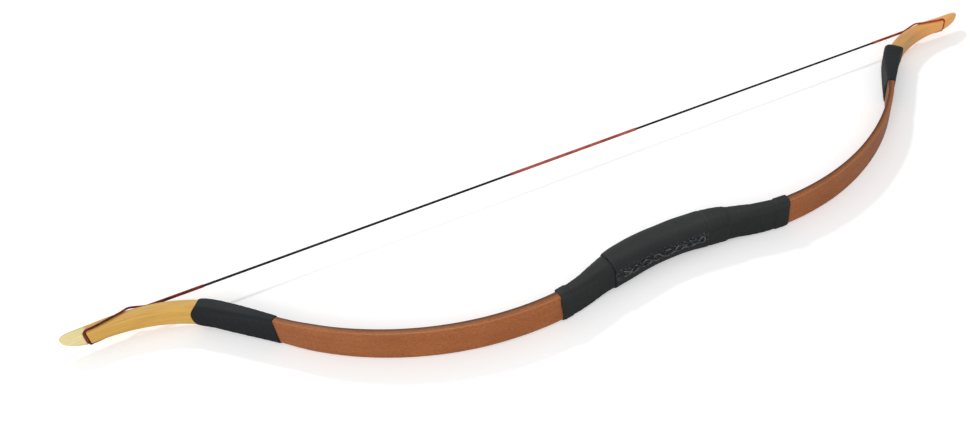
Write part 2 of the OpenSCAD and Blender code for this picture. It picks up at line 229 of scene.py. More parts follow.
# The half profile in mm along the middle of the bow: its arcs as length and turn in degrees, then the
# depth, the width and the corner radius of the section at stations along it.
ARCS = ((104, -20), (60, 20), (122, 22), (162, 26), (78, -2), (75, -30), (53, -18), (44, 10))
DEPTH = ((0, 34.5), (50, 32.1), (60, 30.9), (76, 27.3), (91, 22.1), (110, 16.4), (126, 13.8), (144, 11),
         (171, 10.3), (226, 9.2), (286, 8.1), (413, 7.4), (454, 7.2), (470, 8.6), (495, 11.9),
         (515, 14.3), (534, 15.9), (555, 17.2), (569, 17.9), (590, 18.5), (610, 18.3), (635, 17),
         (656, 16), (668, 15.4), (698, 15.4))
WIDTH = ((0, 29), (50, 33.1), (60, 34.2), (76, 35.1), (91, 35.7), (110, 37), (144, 37.2), (171, 37.5),
         (226, 38.6), (286, 39.6), (413, 39.2), (434, 37.8), (454, 36.2), (470, 34.8), (495, 32.7),
         (515, 31.1), (534, 29.1), (555, 26.2), (569, 24.2), (590, 21.8), (610, 20), (638, 18.2),
         (668, 17.3), (698, 14.6))
ROUND = ((0, 9.5), (76, 8.5), (110, 4.6), (152, 2.2), (286, 2), (470, 2), (555, 4.6), (610, 4.6),
         (668, 4.2), (698, 4.2))

# How far the belly of the upper splice is padded out under its wrap, in mm at stations along it.
PAD = ((430, 0), (455, 1.5), (480, 2.9), (510, 4.5), (535, 5.8), (548, 6.2), (552, 5.2), (555, 2.8),
       (557, 1))

# The middle of the grip in the frame, in metres.
CENTRE = Vector((0, -0.0829513, 0.0203941))


def spot(s, n=0.0, z=0.0, half=1):
    """The point s mm along one half of the bow, n mm towards the string and z mm across the width."""
    x = y = heading = 0.0
    left = abs(s)
    for length, turn in ARCS:
        run = min(left, length)
        bend = math.radians(turn) / length
        radius = 1 / bend
        x += radius * (math.sin(heading + bend * run) - math.sin(heading))
        y -= radius * (math.cos(heading + bend * run) - math.cos(heading))
        heading += bend * run
        left -= run
    x, y = x + left * math.cos(heading), y + left * math.sin(heading)
    half = half if s >= 0 else -half
    return Vector((half * (x - n * math.sin(heading)), y + n * math.cos(heading), z)) / 1000 + CENTRE


def level(table, s):
    """A smooth value between the stations of a table."""
    s = min(max(abs(s), table[0][0]), table[-1][0])
    i = max(k for k in range(len(table) - 1) if table[k][0] <= s or k == 0)
    (a, value_a), (b, value_b) = table[i], table[i + 1]

    def slope(k):
        if k == 0 or k == len(table) - 1:
            return 0.0
        one = (table[k][1] - table[k - 1][1]) / (table[k][0] - table[k - 1][0])
        two = (table[k + 1][1] - table[k][1]) / (table[k + 1][0] - table[k][0])
        return 0.0 if one * two <= 0 else 2 * one * two / (one + two)

    t, run = (s - a) / (b - a), b - a
    return ((2 * t ** 3 - 3 * t ** 2 + 1) * value_a + (t ** 3 - 2 * t ** 2 + t) * run * slope(i)
            + (3 * t ** 2 - 2 * t ** 3) * value_b + (t ** 3 - t ** 2) * run * slope(i + 1))


def clamped(value):
    return max(0.0, min(1.0, value))


def outline(s, grow, narrow, wide):
    """The rounded section at s, grown all round, from the belly over the top.

    Its points are (n, z, out_n, out_z), with the outward direction. Narrow and wide count the steps
    on the narrow and the wide faces.
    """
    depth, width = level(DEPTH, s) / 2 + grow, level(WIDTH, s) / 2 + grow
    radius = min(max(0.4, level(ROUND, s) + grow), depth - 0.05, width - 0.05)
    corners = [(1, 1, 0), (-1, 1, 90), (-1, -1, 180), (1, -1, 270)]
    points = []
    for i, (corner_n, corner_z, start) in enumerate(corners):
        for k in range(7):
            angle = math.radians(start + 15 * k)
            points.append((corner_n * (depth - radius) + radius * math.cos(angle),
                           corner_z * (width - radius) + radius * math.sin(angle),
                           math.cos(angle), math.sin(angle)))
        n, z, out_n, out_z = points[-1]
        next_n, next_z = corners[(i + 1) % 4][:2]
        far_n = next_n * (depth - radius) + radius * out_n
        far_z = next_z * (width - radius) + radius * out_z
        count = wide if i % 2 else narrow
        points += [(n + (far_n - n) * k / count, z + (far_z - z) * k / count, out_n, out_z)
                   for k in range(1, count)]
    return points


def row_at(s, grow=0.0, lift=None, slant=None, narrow=4, wide=12, pad=0.0):
    """One row of a loft round the bow, grown by some mm: (s, n, z, height, across) for each point.

    Lift gives extra mm outwards, slant shifts a point along the bow, and pad is the share of the pad on
    the belly of the splice. Height and across run from -1 to 1, from the under side and from the back.
    """
    depth, width = level(DEPTH, s) / 2 + grow, level(WIDTH, s) / 2 + grow
    row = []
    for n, z, out_n, out_z in outline(s, grow, narrow, wide):
        more = lift(s, n, z, out_n, out_z) if lift else 0.0
        move = slant(s, n, z) if slant else 0.0
        belly = pad * level(PAD, s) * clamped((n / depth + 0.2) / 0.7) if s > PAD[0][0] else 0.0
        row.append((s + move, n + more * out_n + belly, z + more * out_z, z / width, n / depth))
    return row


def stations(low, high, step):
    """Even places from low to high, about a step apart."""
    count = max(1, math.ceil(abs(high - low) / step))
    return [low + (high - low) * i / count for i in range(count + 1)]


def bump_at(a, middle, reach):
    """A round bump of height 1."""
    return math.exp(-((a - middle) / reach) ** 2)


def loft(name, rows, half, material, ring=False):
    """A mesh through the rows: capped at both ends, or run round in a ring to make a hollow sleeve.

    Its map named grain holds metres along the bow and round the section.
    """
    count, many = len(rows[0]), len(rows)
    places = [spot(s, n, z, half) for row in rows for s, n, z in (point[:3] for point in row)]
    faces, where, girth = [], [], []
    for row in range(many):
        run = [0.0]
        for k in range(count):
            run.append(run[-1] + (places[row * count + (k + 1) % count] - places[row * count + k]).length)
        girth.append(run)
    for row in range(many if ring else many - 1):
        after = (row + 1) % many
        for k in range(count):
            k2 = (k + 1) % count
            corners = [row * count + k, row * count + k2, after * count + k2, after * count + k]
            uv = [(rows[row][k][0] / 1000, girth[row][k]), (rows[row][k2][0] / 1000, girth[row][k + 1]),
                  (rows[after][k2][0] / 1000, girth[after][k + 1]),
                  (rows[after][k][0] / 1000, girth[after][k])]
            faces.append(corners if half < 0 else corners[::-1])
            where.append(uv if half < 0 else uv[::-1])
    if not ring:
        for row in (0, many - 1):
            cap = [(row * count + k, (rows[row][k][1] / 1000, rows[row][k][2] / 1000))
                   for k in range(count)]
            cap = cap[::-1] if (row == 0) != (half < 0) else cap
            faces.append([corner for corner, uv in cap])
            where.append([uv for corner, uv in cap])
    mesh = bpy.data.meshes.new(name)
    mesh.from_pydata([tuple(place) for place in places], [], faces)
    layer = mesh.uv_layers.new(name="grain")
    for polygon, uv in zip(mesh.polygons, where):
        for loop, corner in zip(polygon.loop_indices, uv):
            layer.data[loop].uv = corner
    for label, column in (("height", 3), ("across", 4)):
        values = [point[column] for row in rows for point in row]
        mesh.attributes.new(label, "FLOAT", "POINT").data.foreach_set("value", values)
    mesh.shade_smooth()
    mesh.set_sharp_from_angle(angle=math.radians(38))
    mesh.materials.append(material)
    made = bpy.data.objects.new(name, mesh)
    bpy.context.scene.collection.objects.link(made)
    return made


def product(tree, one, two):
    return add_node(tree, "ShaderNodeMath", operation="MULTIPLY", _0=one, _1=two).outputs[0]


def grain_map(tree):
    """Metres along the bow and round the section of a loft."""
    return add_node(tree, "ShaderNodeUVMap", uv_map="grain").outputs[0]


def painted(tree, label):
    """The height or the across of a loft's points."""
    return add_node(tree, "ShaderNodeAttribute", attribute_name=label).outputs["Fac"]


def black_leather(name, base, cloud, rough, flecks=0.0, shine=0.28):
    """Black leather: clouded colour, fine pebble grain, and a painted sheen in grey patches on its upper
    side.

    Flecks is the strength of pale grey flecks in a band along the back, beside the lace.
    """
    made, tree, shader = new_finish(name, Specular_IOR_Level=shine)
    uv = grain_map(tree)
    height = painted(tree, "height")
    clouds = speckle(tree, stretched(tree, uv, (26, 60, 1)), 1, 4, 0.6)
    pores = add_node(tree, "ShaderNodeTexVoronoi", Vector=uv, Scale=900).outputs["Distance"]
    fine = speckle(tree, uv, 420, 4, 0.65)
    colour = mixed(tree, mapped(tree, clouds, 0.38, 0.66), base, cloud)
    # Painted sheen: the upper side turns paler grey in patches of the fine noise.
    upper_sheen_patches = product(tree, mapped(tree, height, 0.55, 1.0), mapped(tree, fine, 0.3, 0.7, 0.4, 1))
    colour = mixed(tree, upper_sheen_patches, colour, tuple(2.1 * part for part in cloud))
    if flecks:
        band = product(tree, mapped(tree, height, -0.35, -0.1), mapped(tree, height, 0.68, 0.45))
        band = product(tree, band, mapped(tree, painted(tree, "across"), -0.8, -0.95))
        dots = mapped(tree, speckle(tree, stretched(tree, uv, (330, 520, 1)), 1, 2, 0.5), 0.56, 0.68)
        pale_flecks = product(tree, product(tree, band, dots), flecks)
        colour = mixed(tree, pale_flecks, colour, (0.115, 0.120, 0.134))
    tree.links.new(colour, shader.inputs["Base Color"])
    tree.links.new(mapped(tree, clouds, 0.2, 0.8, rough - 0.08, rough + 0.1), shader.inputs["Roughness"])
    grain = raised(tree, shader, pores, strength=0.35, depth=0.00012)
    raised(tree, shader, fine, strength=0.5, depth=0.00025, normal=grain)
    return made


def sleeve_lift(s, n, z, out_n, out_z):
    """A slight swell all over, and on the back the lips of the seam with a groove between them."""
    swell = 0.35 * noise.noise(Vector((s * 0.06, n * 0.09, z * 0.09)))
    if out_n >= -0.6:
        return swell
    return swell + (0.55 * bump_at(abs(z - SEAM_AT), 1.5, 1.1) - 0.9 * bump_at(z, SEAM_AT, 0.55))


def sleeve_slant(s, n, z):
    """The ends run a little askew and reach further on the back."""
    ends = clamped((abs(s - SLEEVE_MIDDLE) - 34) / 30)
    drop = 2.6 if s < 0 else 1.4
    return math.copysign(1, s) * ends * (-drop * n / 18 + 0.7 * noise.noise(Vector((n * 0.2, z * 0.2, s))))


def sleeve_row(s, grow, lift=None):
    return row_at(s, grow, lift, sleeve_slant, narrow=8, wide=30)


rows = [sleeve_row(SLEEVE_FROM, CLEAR), sleeve_row(SLEEVE_FROM, PARED_EDGE)]
rows += [sleeve_row(s, SLEEVE_THICK, sleeve_lift) for s in stations(SLEEVE_FROM + 0.5, SLEEVE_TO - 0.5, 2)]
rows += [sleeve_row(SLEEVE_TO, PARED_EDGE)]
rows += [sleeve_row(s, CLEAR) for s in stations(SLEEVE_TO, SLEEVE_FROM + 4, 8)]
grip_black = black_leather("grip_black_leather", base=(0.0052, 0.0058, 0.0075),
                           cloud=(0.011, 0.0125, 0.0125), rough=0.62, flecks=0.9)
sleeve = loft("laced_sleeve", rows, 1, grip_black, ring=True)
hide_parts("grip_leather")
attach(sleeve, "grip")


# Grip lacing
# One waxed cord of three twisted threads, 1.5 mm thick.
# It runs out along the seam in a zigzag and comes back over itself, so that it makes crosses.
LACE_THICK = 1.5
LACE_FROM = -68.0
LACE_TO = 44.0
CROSSES = 7
CROSS_WIDE = 9.0
CROSS_LONG = (LACE_TO - LACE_FROM) / CROSSES
LACE_OVER_SLEEVE = 0.15
LACE_OVER_LACE = LACE_THICK + 0.4


def cord_tree():
    """Threads laid round a core along a route: few and steep for a cord, one and flat for a serving."""
    tree = bpy.data.node_groups.new("laid_threads", "GeometryNodeTree")
    for name, kind in (("Route", "Geometry"), ("Step", "Float"), ("Threads", "Int"), ("Ring", "Float"),
                       ("Thread", "Float"), ("Pitch", "Float"), ("Core", "Float"), ("Sides", "Int"),
                       ("Material", "Material")):
        tree.interface.new_socket(name=name, in_out="INPUT", socket_type="NodeSocket" + kind)
    tree.interface.new_socket(name="Mesh", in_out="OUTPUT", socket_type="NodeSocketGeometry")
    given = add_node(tree, "NodeGroupInput").outputs

    def sums(kind, one, two=0.5):
        return add_node(tree, "ShaderNodeMath", operation=kind, _0=one, _1=two).outputs[0]

    route = add_node(tree, "GeometryNodeMeshToCurve", Mesh=given["Route"]).outputs[0]
    route = add_node(tree, "GeometryNodeResampleCurve", mode="LENGTH", Curve=route,
                     Length=given["Step"]).outputs[0]
    copies = add_node(tree, "GeometryNodeDuplicateElements", domain="SPLINE", Geometry=route,
                      Amount=given["Threads"])
    run = add_node(tree, "GeometryNodeSplineParameter").outputs["Length"]
    turns = sums("ADD", sums("DIVIDE", run, given["Pitch"]),
                 sums("DIVIDE", copies.outputs["Duplicate Index"], given["Threads"]))
    angle = sums("MULTIPLY", turns, math.tau)
    normal = add_node(tree, "GeometryNodeInputNormal").outputs[0]
    tangent = add_node(tree, "GeometryNodeInputTangent").outputs[0]
    beside = add_node(tree, "ShaderNodeVectorMath", operation="CROSS_PRODUCT", _0=tangent,
                      _1=normal).outputs[0]
    reach = [add_node(tree, "ShaderNodeVectorMath", operation="SCALE", _0=way,
                      _3=sums("MULTIPLY", sums(kind, angle), given["Ring"])).outputs[0]
             for way, kind in ((normal, "COSINE"), (beside, "SINE"))]
    offset = add_node(tree, "ShaderNodeVectorMath", operation="ADD", _0=reach[0], _1=reach[1]).outputs[0]
    laid = add_node(tree, "GeometryNodeSetPosition", Geometry=copies.outputs[0], Offset=offset).outputs[0]
    joined = add_node(tree, "GeometryNodeJoinGeometry")
    for line, radius in ((laid, given["Thread"]), (route, given["Core"])):
        circle = add_node(tree, "GeometryNodeCurvePrimitiveCircle", mode="RADIUS",
                          Resolution=given["Sides"], Radius=radius).outputs[0]
        tube = add_node(tree, "GeometryNodeCurveToMesh", Curve=line, Profile_Curve=circle, Fill_Caps=True)
        tree.links.new(tube.outputs[0], joined.inputs[0])
    whole = add_node(tree, "GeometryNodeRealizeInstances", Geometry=joined.outputs[0]).outputs[0]
    whole = add_node(tree, "GeometryNodeSetMaterial", Geometry=whole, Material=given["Material"]).outputs[0]
    add_node(tree, "NodeGroupOutput", Mesh=whole)
    return tree


laid_threads = cord_tree()


def thread_along(name, places, **values):
    """A plain mesh of the threads along the given places."""
    line = bpy.data.meshes.new(name + "_route")
    line.from_pydata([tuple(place) for place in places], [(i, i + 1) for i in range(len(places) - 1)], [])
    source = bpy.data.objects.new(name + "_route", line)
    bpy.context.scene.collection.objects.link(source)
    modifier = source.modifiers.new("threads", "NODES")
    modifier.node_group = laid_threads
    for item in laid_threads.interface.items_tree:
        if item.in_out == "INPUT" and item.name in values:
            modifier[item.identifier] = values[item.name]
    bpy.context.view_layer.update()
    shown = source.evaluated_get(bpy.context.evaluated_depsgraph_get())
    mesh = bpy.data.meshes.new_from_object(shown)
    bpy.data.objects.remove(source)
    mesh.name = name
    mesh.shade_smooth()
    made = bpy.data.objects.new(name, mesh)
    bpy.context.scene.collection.objects.link(made)
    return made


def smooth_route(points, count):
    """A smooth route through the points, with count steps for each stretch."""
    route = []
    for i in range(len(points) - 1):
        a, b, c, d = (points[min(max(k, 0), len(points) - 1)] for k in (i - 1, i, i + 1, i + 2))
        for k in range(count):
            u = k / count
            route.append(((-a + 3 * b - 3 * c + d) * u ** 3 + (2 * a - 5 * b + 4 * c - d) * u * u
                          + (c - a) * u + 2 * b) / 2)
    return route + [points[-1]]


def waxed_thread(name, base, dark, rough, worn_scale=90):
    """Waxed thread: its tone changes along the object, and small fibres carry painted glints."""
    made, tree, shader = new_finish(name, Specular_IOR_Level=0.3)
    place = add_node(tree, "ShaderNodeTexCoord").outputs["Object"]
    worn = speckle(tree, place, worn_scale, 3, 0.5)
    fibres_and_glints = speckle(tree, place, 900, 3, 0.6)
    colour = mixed(tree, mapped(tree, worn, 0.40, 0.58), base, dark)
    # Painted glints: fine flecks are paler than the thread.
    colour = mixed(tree, mapped(tree, fibres_and_glints, 0.56, 0.72, 0, 0.3), colour, tuple(1.5 * part for part in base))
    tree.links.new(colour, shader.inputs["Base Color"])
    tree.links.new(mapped(tree, fibres_and_glints, 0.3, 0.7, rough - 0.1, rough + 0.1), shader.inputs["Roughness"])
    raised(tree, shader, fibres_and_glints, strength=0.4, depth=0.0001)
    return made


def lace_point(s, share, lift):
    """A point of the lace on the sleeve: share is from -1 to 1 across the seam, lift is in mm."""
    z = SEAM_AT + share * CROSS_WIDE / 2
    wide, deep = level(WIDTH, s) / 2 + SLEEVE_THICK, level(DEPTH, s) / 2 + SLEEVE_THICK
    radius = level(ROUND, s) + SLEEVE_THICK
    past = abs(z) - (wide - radius)
    face = deep if past <= 0 else deep - radius + math.sqrt(max(0, radius ** 2 - past ** 2))
    return spot(s, -face - LACE_THICK / 2 - LACE_OVER_SLEEVE - lift, z)


outward, homeward = [], []
for i in range(CROSSES + 1):
    flip = 1 if i % 2 == 0 else -1
    outward.append(lace_point(LACE_FROM + i * CROSS_LONG, flip, 0))
    homeward.append(lace_point(LACE_FROM + i * CROSS_LONG + 0.6, -flip, 0))
    if i < CROSSES:
        outward.append(lace_point(LACE_FROM + (i + 0.5) * CROSS_LONG, 0, 0.25))
        homeward.append(lace_point(LACE_FROM + (i + 0.5) * CROSS_LONG, 0, LACE_OVER_LACE))
lace_route = smooth_route(outward + [lace_point(LACE_TO + 3.5, -0.2, 0.2)] + homeward[::-1], 5)
lace_black = waxed_thread("black_waxed_lace", base=(0.115, 0.12, 0.13), dark=(0.015, 0.016, 0.018),
                          rough=0.45, worn_scale=190)
lacing = thread_along("sleeve_lace", lace_route, Step=0.0008, Threads=3, Ring=0.00034, Thread=0.00041,
                      Pitch=0.006, Core=0.0002, Sides=6, Material=lace_black)
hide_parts("grip_lacing")
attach(lacing, "grip")


# Grip wraps
# A strip of soft black leather wound over the root of each limb, from the sleeve outwards.
# Its last turns lie double, and on the upper side so do the first ones.
GRIP_WRAP_THICK = 1.1
TUCKED_THICK = 0.9
TUCKED_IN = 4
wrap_black = black_leather("wrap_black_leather", base=(0.0052, 0.0064, 0.0068),
                           cloud=(0.0100, 0.0118, 0.0115), rough=0.62)


def wound(strip, deep):
    """Lift of the turns of a strip that shows strip mm a turn: each rises by deep and drops at its edge."""
    def lift(s, n, z, out_n, out_z):
        share = (abs(s) + 2.5 * math.atan2(z, n) / math.pi) / strip % 1.0
        edge = min(1.0, (1 - share) / 0.12)
        return deep * (share * edge - 0.4) + 0.12 * noise.noise(Vector((s * 0.11, n * 0.2, z * 0.2)))
    return lift


def grip_wrap(name, low, high, half, doubled, first_layer):
    """One wrap from low to high: the last doubled mm lie double, and the first ones up to first_layer."""
    strip = wound(strip=8.5, deep=0.26)
    inner_run, outer_run = 12, 26

    def lift(s, n, z, out_n, out_z):
        double = clamped((s - (high - doubled)) / 1.4) * (0.6 + 0.7 * max(0.0, out_z) + 0.3 * abs(out_n))
        first = clamped((first_layer - s) / 3) if first_layer else 0.0
        soft = -0.45 * bump_at(s, high, 1.6) - 0.5 * bump_at(s, low, 1.2)
        return strip(s, n, z, out_n, out_z) + double + first + soft

    def slant(s, n, z):
        ragged = 0.9 * noise.noise(Vector((n * 0.25, z * 0.12, high)))
        askew = -1.2 * n / 8 if s < low + inner_run else 0
        if s > high - outer_run:
            return max(0.0, (s - high + outer_run) / outer_run) * (ragged + askew)
        return max(0.0, (low + inner_run - s) / inner_run) * (ragged + askew)

    under_sleeve = [row_at(low - step, TUCKED_THICK, narrow=6, wide=14) for step in (TUCKED_IN, 1)]
    shown = [row_at(s, GRIP_WRAP_THICK, lift, slant, 6, 14) for s in stations(low, high, 1.0)]
    hidden = [row_at(s, CLEAR, None, slant, 6, 14) for s in (high, high - 6, (low + high) / 2, low)]
    hidden += [row_at(low - TUCKED_IN, CLEAR, narrow=6, wide=14)]
    return loft(name, under_sleeve + shown + hidden, half, wrap_black, ring=True)


for side, low, high, half, doubled, first_layer in (("upper", 52.0, 158.0, 1, 18, 82.0),
                                                     ("lower", 76.0, 148.0, -1, 13, None)):
    made = grip_wrap(side + "_grip_strip", low, high, half, doubled, first_layer)
    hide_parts(side + "_grip_wrap")
    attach(made, "grip")


# Limb core and laminations
# A core of sawn ash between two strips of bow laminate, glued and clamped to the curve.
# The leather hides them. Each layer is made in two lengths.
LIMB_FROM = 110.35
LIMB_PART = 292.0
LIMB_TO = 469.65

# The two lengths, with the places where their bends start and end.
LENGTHS = (("inner", LIMB_FROM, LIMB_PART, 165, 285), ("outer", LIMB_PART, LIMB_TO, 300, 440))

# Thickness of the glue lines, the leather and the laminations, then each limb's share of the pad.
GLUE = 0.05
SKIN = 1.0
STRIP = 1.2
PAD_SHARE = {"upper": 1.0, "lower": 0.12}


def layer_of_limb(name, low, high, side, half, faces, material):
    """A flat layer: faces gives its two faces, as offsets from the middle, for a half depth and a pad."""
    rows = []
    for s in stations(low, high, 5):
        core = level(DEPTH, s) / 2 - SKIN - GLUE
        wide = level(WIDTH, s) / 2 - max(SKIN, level(ROUND, s)) - GLUE
        under, over = faces(core, PAD_SHARE[side] * level(PAD, s) if s > PAD[0][0] else 0.0)
        corners = [(over, wide), (under, wide), (under, -wide), (over, -wide)]
        rows.append([(s, n + (next_n - n) * k / 4, z + (next_z - z) * k / 4, 0.0, 0.0)
                     for (n, z), (next_n, next_z) in zip(corners, corners[1:] + corners[:1])
                     for k in range(4)])
    return loft(name, rows, half, material)


def bow_laminate():
    """Glass fibres that run along the strip in clear resin."""
    made, tree, shader = new_finish("bow_laminate", Roughness=0.35)
    place = add_node(tree, "ShaderNodeTexCoord").outputs["Object"]
    fibres = speckle(tree, stretched(tree, place, (8, 500, 500)), 1, 4, 0.6)
    colour = mixed(tree, mapped(tree, fibres, 0.35, 0.65), (0.62, 0.50, 0.28), (0.44, 0.33, 0.16))
    tree.links.new(colour, shader.inputs["Base Color"])
    raised(tree, shader, fibres, strength=0.25, depth=0.0001)
    return made


core_ash = wood("core_ash", pale=(0.46, 0.31, 0.16), dark=(0.31, 0.19, 0.09), along=(1, 14, 14))
laminate = bow_laminate()
LAYERS = (("limb_core", core_ash, "core_wood",
           lambda core, pad: (STRIP - core, core + pad - STRIP)),
          ("back_lamination", laminate, "lamination",
           lambda core, pad: (-core, STRIP - core - GLUE)),
          ("belly_lamination", laminate, "lamination",
           lambda core, pad: (core + pad - STRIP + GLUE, core + pad)))


def bends(made, half, start, end):
    """Works out the places where the length's bend starts and ends, and bakes the object's placement into
    its mesh.
    """
    spot(start, half=half)
    spot(end, half=half)
    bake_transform(made)


for side, half in (("upper", 1), ("lower", -1)):
    for layer, material, slot, faces in LAYERS:
        for where, low, high, start, end in LENGTHS:
            made = layer_of_limb(f"{side}_{layer}_{where}", low, high, side, half, faces, material)
            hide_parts(f"{side}_{layer}")
            bends(made, half, start, end)


# Limb leather
# Red brown leather, 1 mm thick, glued wet round each limb and burnished.
# A painted highlight lies on its upper back corner, its lower back corner is lighter, and painted shade
# darkens its upper side towards the belly.
def brown_leather():
    """Red brown leather: clouds, streaks along the limb, a mottle, dark pores, lighter back corners with a
    painted highlight, and painted shade.
    """
    made, tree, shader = new_finish("brown_leather", Specular_IOR_Level=0.3)
    uv = grain_map(tree)
    height = painted(tree, "height")
    across = painted(tree, "across")
    clouds = speckle(tree, stretched(tree, uv, (16, 34, 1)), 1, 5, 0.62)
    streaks = speckle(tree, stretched(tree, uv, (7, 190, 1)), 1, 3, 0.5)
    mottle = speckle(tree, stretched(tree, uv, (330, 420, 1)), 1, 3, 0.6)
    pores = add_node(tree, "ShaderNodeTexVoronoi", Vector=uv, Scale=1100).outputs["Distance"]
    fine = speckle(tree, uv, 700, 4, 0.7)
    colour = mixed(tree, mapped(tree, clouds, 0.35, 0.68), (0.335, 0.108, 0.026), (0.265, 0.078, 0.019))
    for factor, tone in ((mapped(tree, streaks, 0.45, 0.75, 0, 0.22), (0.42, 0.165, 0.050)),
                         (mapped(tree, mottle, 0.46, 0.62, 0, 0.62), (0.215, 0.060, 0.016)),
                         (mapped(tree, mottle, 0.44, 0.32, 0, 0.5), (0.42, 0.125, 0.034)),
                         (mapped(tree, fine, 0.5, 0.75, 0, 0.35), (0.17, 0.05, 0.014))):
        colour = mixed(tree, factor, colour, tone)
    on_back = mapped(tree, across, -0.60, -0.82)
    belly_side_shade = mapped(tree, across, -0.35, 0.55)
    # The upper back corner is a painted highlight, the lower back corner is lighter, and the dark upper side
    # towards the belly is painted shade.
    for low, high, place, amount, tone in ((0.92, 0.965, on_back, 0.35, (0.50, 0.23, 0.10)),
                                           (-0.92, -0.965, on_back, 0.55, (0.52, 0.21, 0.06)),
                                           (0.90, 0.96, belly_side_shade, 0.85, (0.050, 0.020, 0.010))):
        corner = product(tree, mapped(tree, height, low, high), place)
        colour = mixed(tree, product(tree, corner, amount), colour, tone)
    tree.links.new(colour, shader.inputs["Base Color"])
    tree.links.new(mapped(tree, clouds, 0.2, 0.8, 0.5, 0.66), shader.inputs["Roughness"])
    grain = raised(tree, shader, pores, strength=0.3, depth=0.0001)
    raised(tree, shader, fine, strength=0.4, depth=0.00015, normal=grain)
    return made


def leather_lift(s, n, z, out_n, out_z):
    return 0.10 * noise.noise(Vector((s * 0.05, n * 0.3, z * 0.12)))


brown = brown_leather()
for side, half in (("upper", 1), ("lower", -1)):
    for where, low, high, start, end in LENGTHS:
        rows = [row_at(s, 0, leather_lift, None, 4, 16, PAD_SHARE[side]) for s in stations(low, high, 4)]
        rows += [row_at(s, -SKIN, None, None, 4, 16, PAD_SHARE[side]) for s in stations(high, low, 12)]
        made = loft(f"{side}_limb_leather_{where}", rows, half, brown, ring=True)
        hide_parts(f"{side}_limb_leather")
        bends(made, half, start, end)


# Tip levers
# A stiff lever of steamed pale wood on the end of each limb, oiled, with a notch across its back.
# The lower nose is paler than its lever, and the upper one is darker. The upper lever has a painted
# highlight outwards.
LEVER_FROM = 470
NOTCH_AT = 668.0
NOTCH_IN = -5.1
NOTCH_RADIUS = 1.85
NOSE = 30.0
# Share of the nose, then what is left of its width and of its depth there, and its lean to the string.
NOSE_CUTS = ((0, 1.0, 1.0, 0), (0.3, 1, 0.89, 0.6), (0.55, 0.95, 0.76, 1.5), (0.78, 0.82, 0.58, 2.5),
             (0.93, 0.6, 0.38, 3.4), (1, 0.32, 0.2, 4))


def lever_row(s, nose_long):
    """A row of the lever: the notch pulls the back in, the nose gets thinner and leans to the string."""
    row = row_at(s, narrow=6, wide=8)
    off = s - NOTCH_AT
    if off <= 3:
        floor = -level(DEPTH, s) / 2 + 0.7 * math.exp(-max(0.0, abs(off) - NOTCH_RADIUS) / 0.6)
        if abs(off) < NOTCH_RADIUS:
            floor = NOTCH_IN + math.sqrt(NOTCH_RADIUS ** 2 - off ** 2)
        return [(along, max(n, floor), z, height, across) for along, n, z, height, across in row]
    thin, flat, lean = (level([(cut[0], cut[k]) for cut in NOSE_CUTS], off / NOSE) for k in (1, 2, 3))
    where = NOTCH_AT + off * nose_long
    return [(where, n * flat + lean, z * thin, height, across) for along, n, z, height, across in row]


def lever_wood(name, pale, dark, nose, nose_dark, lower_edge_light, outer, outer_share):
    """Oiled wood with lines along the lever, another tone on the nose, painted light at the lower edge and
    another tone outwards.
    """
    made, tree, shader = new_finish(name, Specular_IOR_Level=0.4)
    uv = grain_map(tree)
    run = add_node(tree, "ShaderNodeSeparateXYZ", Vector=uv).outputs[0]
    lines = speckle(tree, stretched(tree, uv, (18, 760, 1)), 1, 5, 0.62)
    broad = speckle(tree, stretched(tree, uv, (24, 110, 1)), 1, 3, 0.5)
    colour = mixed(tree, mapped(tree, lines, 0.32, 0.74, 0, 0.75), pale, dark)
    colour = mixed(tree, mapped(tree, broad, 0.45, 0.7, 0, 0.4), colour, dark)
    tip = mixed(tree, mapped(tree, lines, 0.4, 0.7), nose, nose_dark)
    tip = mixed(tree, mapped(tree, painted(tree, "across"), 0.2, 0.9, 0, 0.75), tip, dark)
    nose_from = NOTCH_AT / 1000
    colour = mixed(tree, mapped(tree, run, nose_from - 0.0025, nose_from + 0.0005), colour, tip)
    # Outwards the upper lever gets a painted highlight and the lower one a darker brown.
    colour = mixed(tree, mapped(tree, run, 0.585, 0.645, 0, outer_share), colour, outer)
    # Painted light along the lower edge: a bright orange highlight on the upper lever and a deeper orange on
    # the lower.
    colour = mixed(tree, mapped(tree, painted(tree, "height"), -0.55, -0.95, 0, 0.6), colour, lower_edge_light)
    tree.links.new(colour, shader.inputs["Base Color"])
    tree.links.new(mapped(tree, lines, 0.2, 0.8, 0.38, 0.55), shader.inputs["Roughness"])
    raised(tree, shader, lines, strength=0.25, depth=0.00015)
    return made


# The lower edge tones are painted light, and the upper lever's outer tone is a painted highlight.
lower_wood = lever_wood("lower_lever_wood", pale=(0.64, 0.385, 0.070), dark=(0.43, 0.215, 0.036),
                        nose=(0.76, 0.69, 0.36), nose_dark=(0.60, 0.48, 0.20), lower_edge_light=(0.62, 0.29, 0.07),
                        outer=(0.50, 0.25, 0.06), outer_share=0.15)
upper_wood = lever_wood("upper_lever_wood", pale=(0.66, 0.35, 0.105), dark=(0.43, 0.20, 0.055),
                        nose=(0.70, 0.36, 0.12), nose_dark=(0.50, 0.22, 0.07), lower_edge_light=(0.80, 0.32, 0.06),
                        outer=(0.95, 0.42, 0.10), outer_share=0.6)
notch_steps = [0.6, 1.2, 1.6, 1.8, 1.86, 2.0, 2.3, 2.8]
lever_stations = stations(LEVER_FROM, NOTCH_AT - 4, 4)
lever_stations += [NOTCH_AT - step for step in notch_steps[::-1]]
lever_stations += [NOTCH_AT] + [NOTCH_AT + step for step in notch_steps]
lever_stations += stations(NOTCH_AT + 4, NOTCH_AT + NOSE - 3, 2)
lever_stations += [NOTCH_AT + NOSE - step for step in (2, 1.2, 0.6, 0.2, 0)]
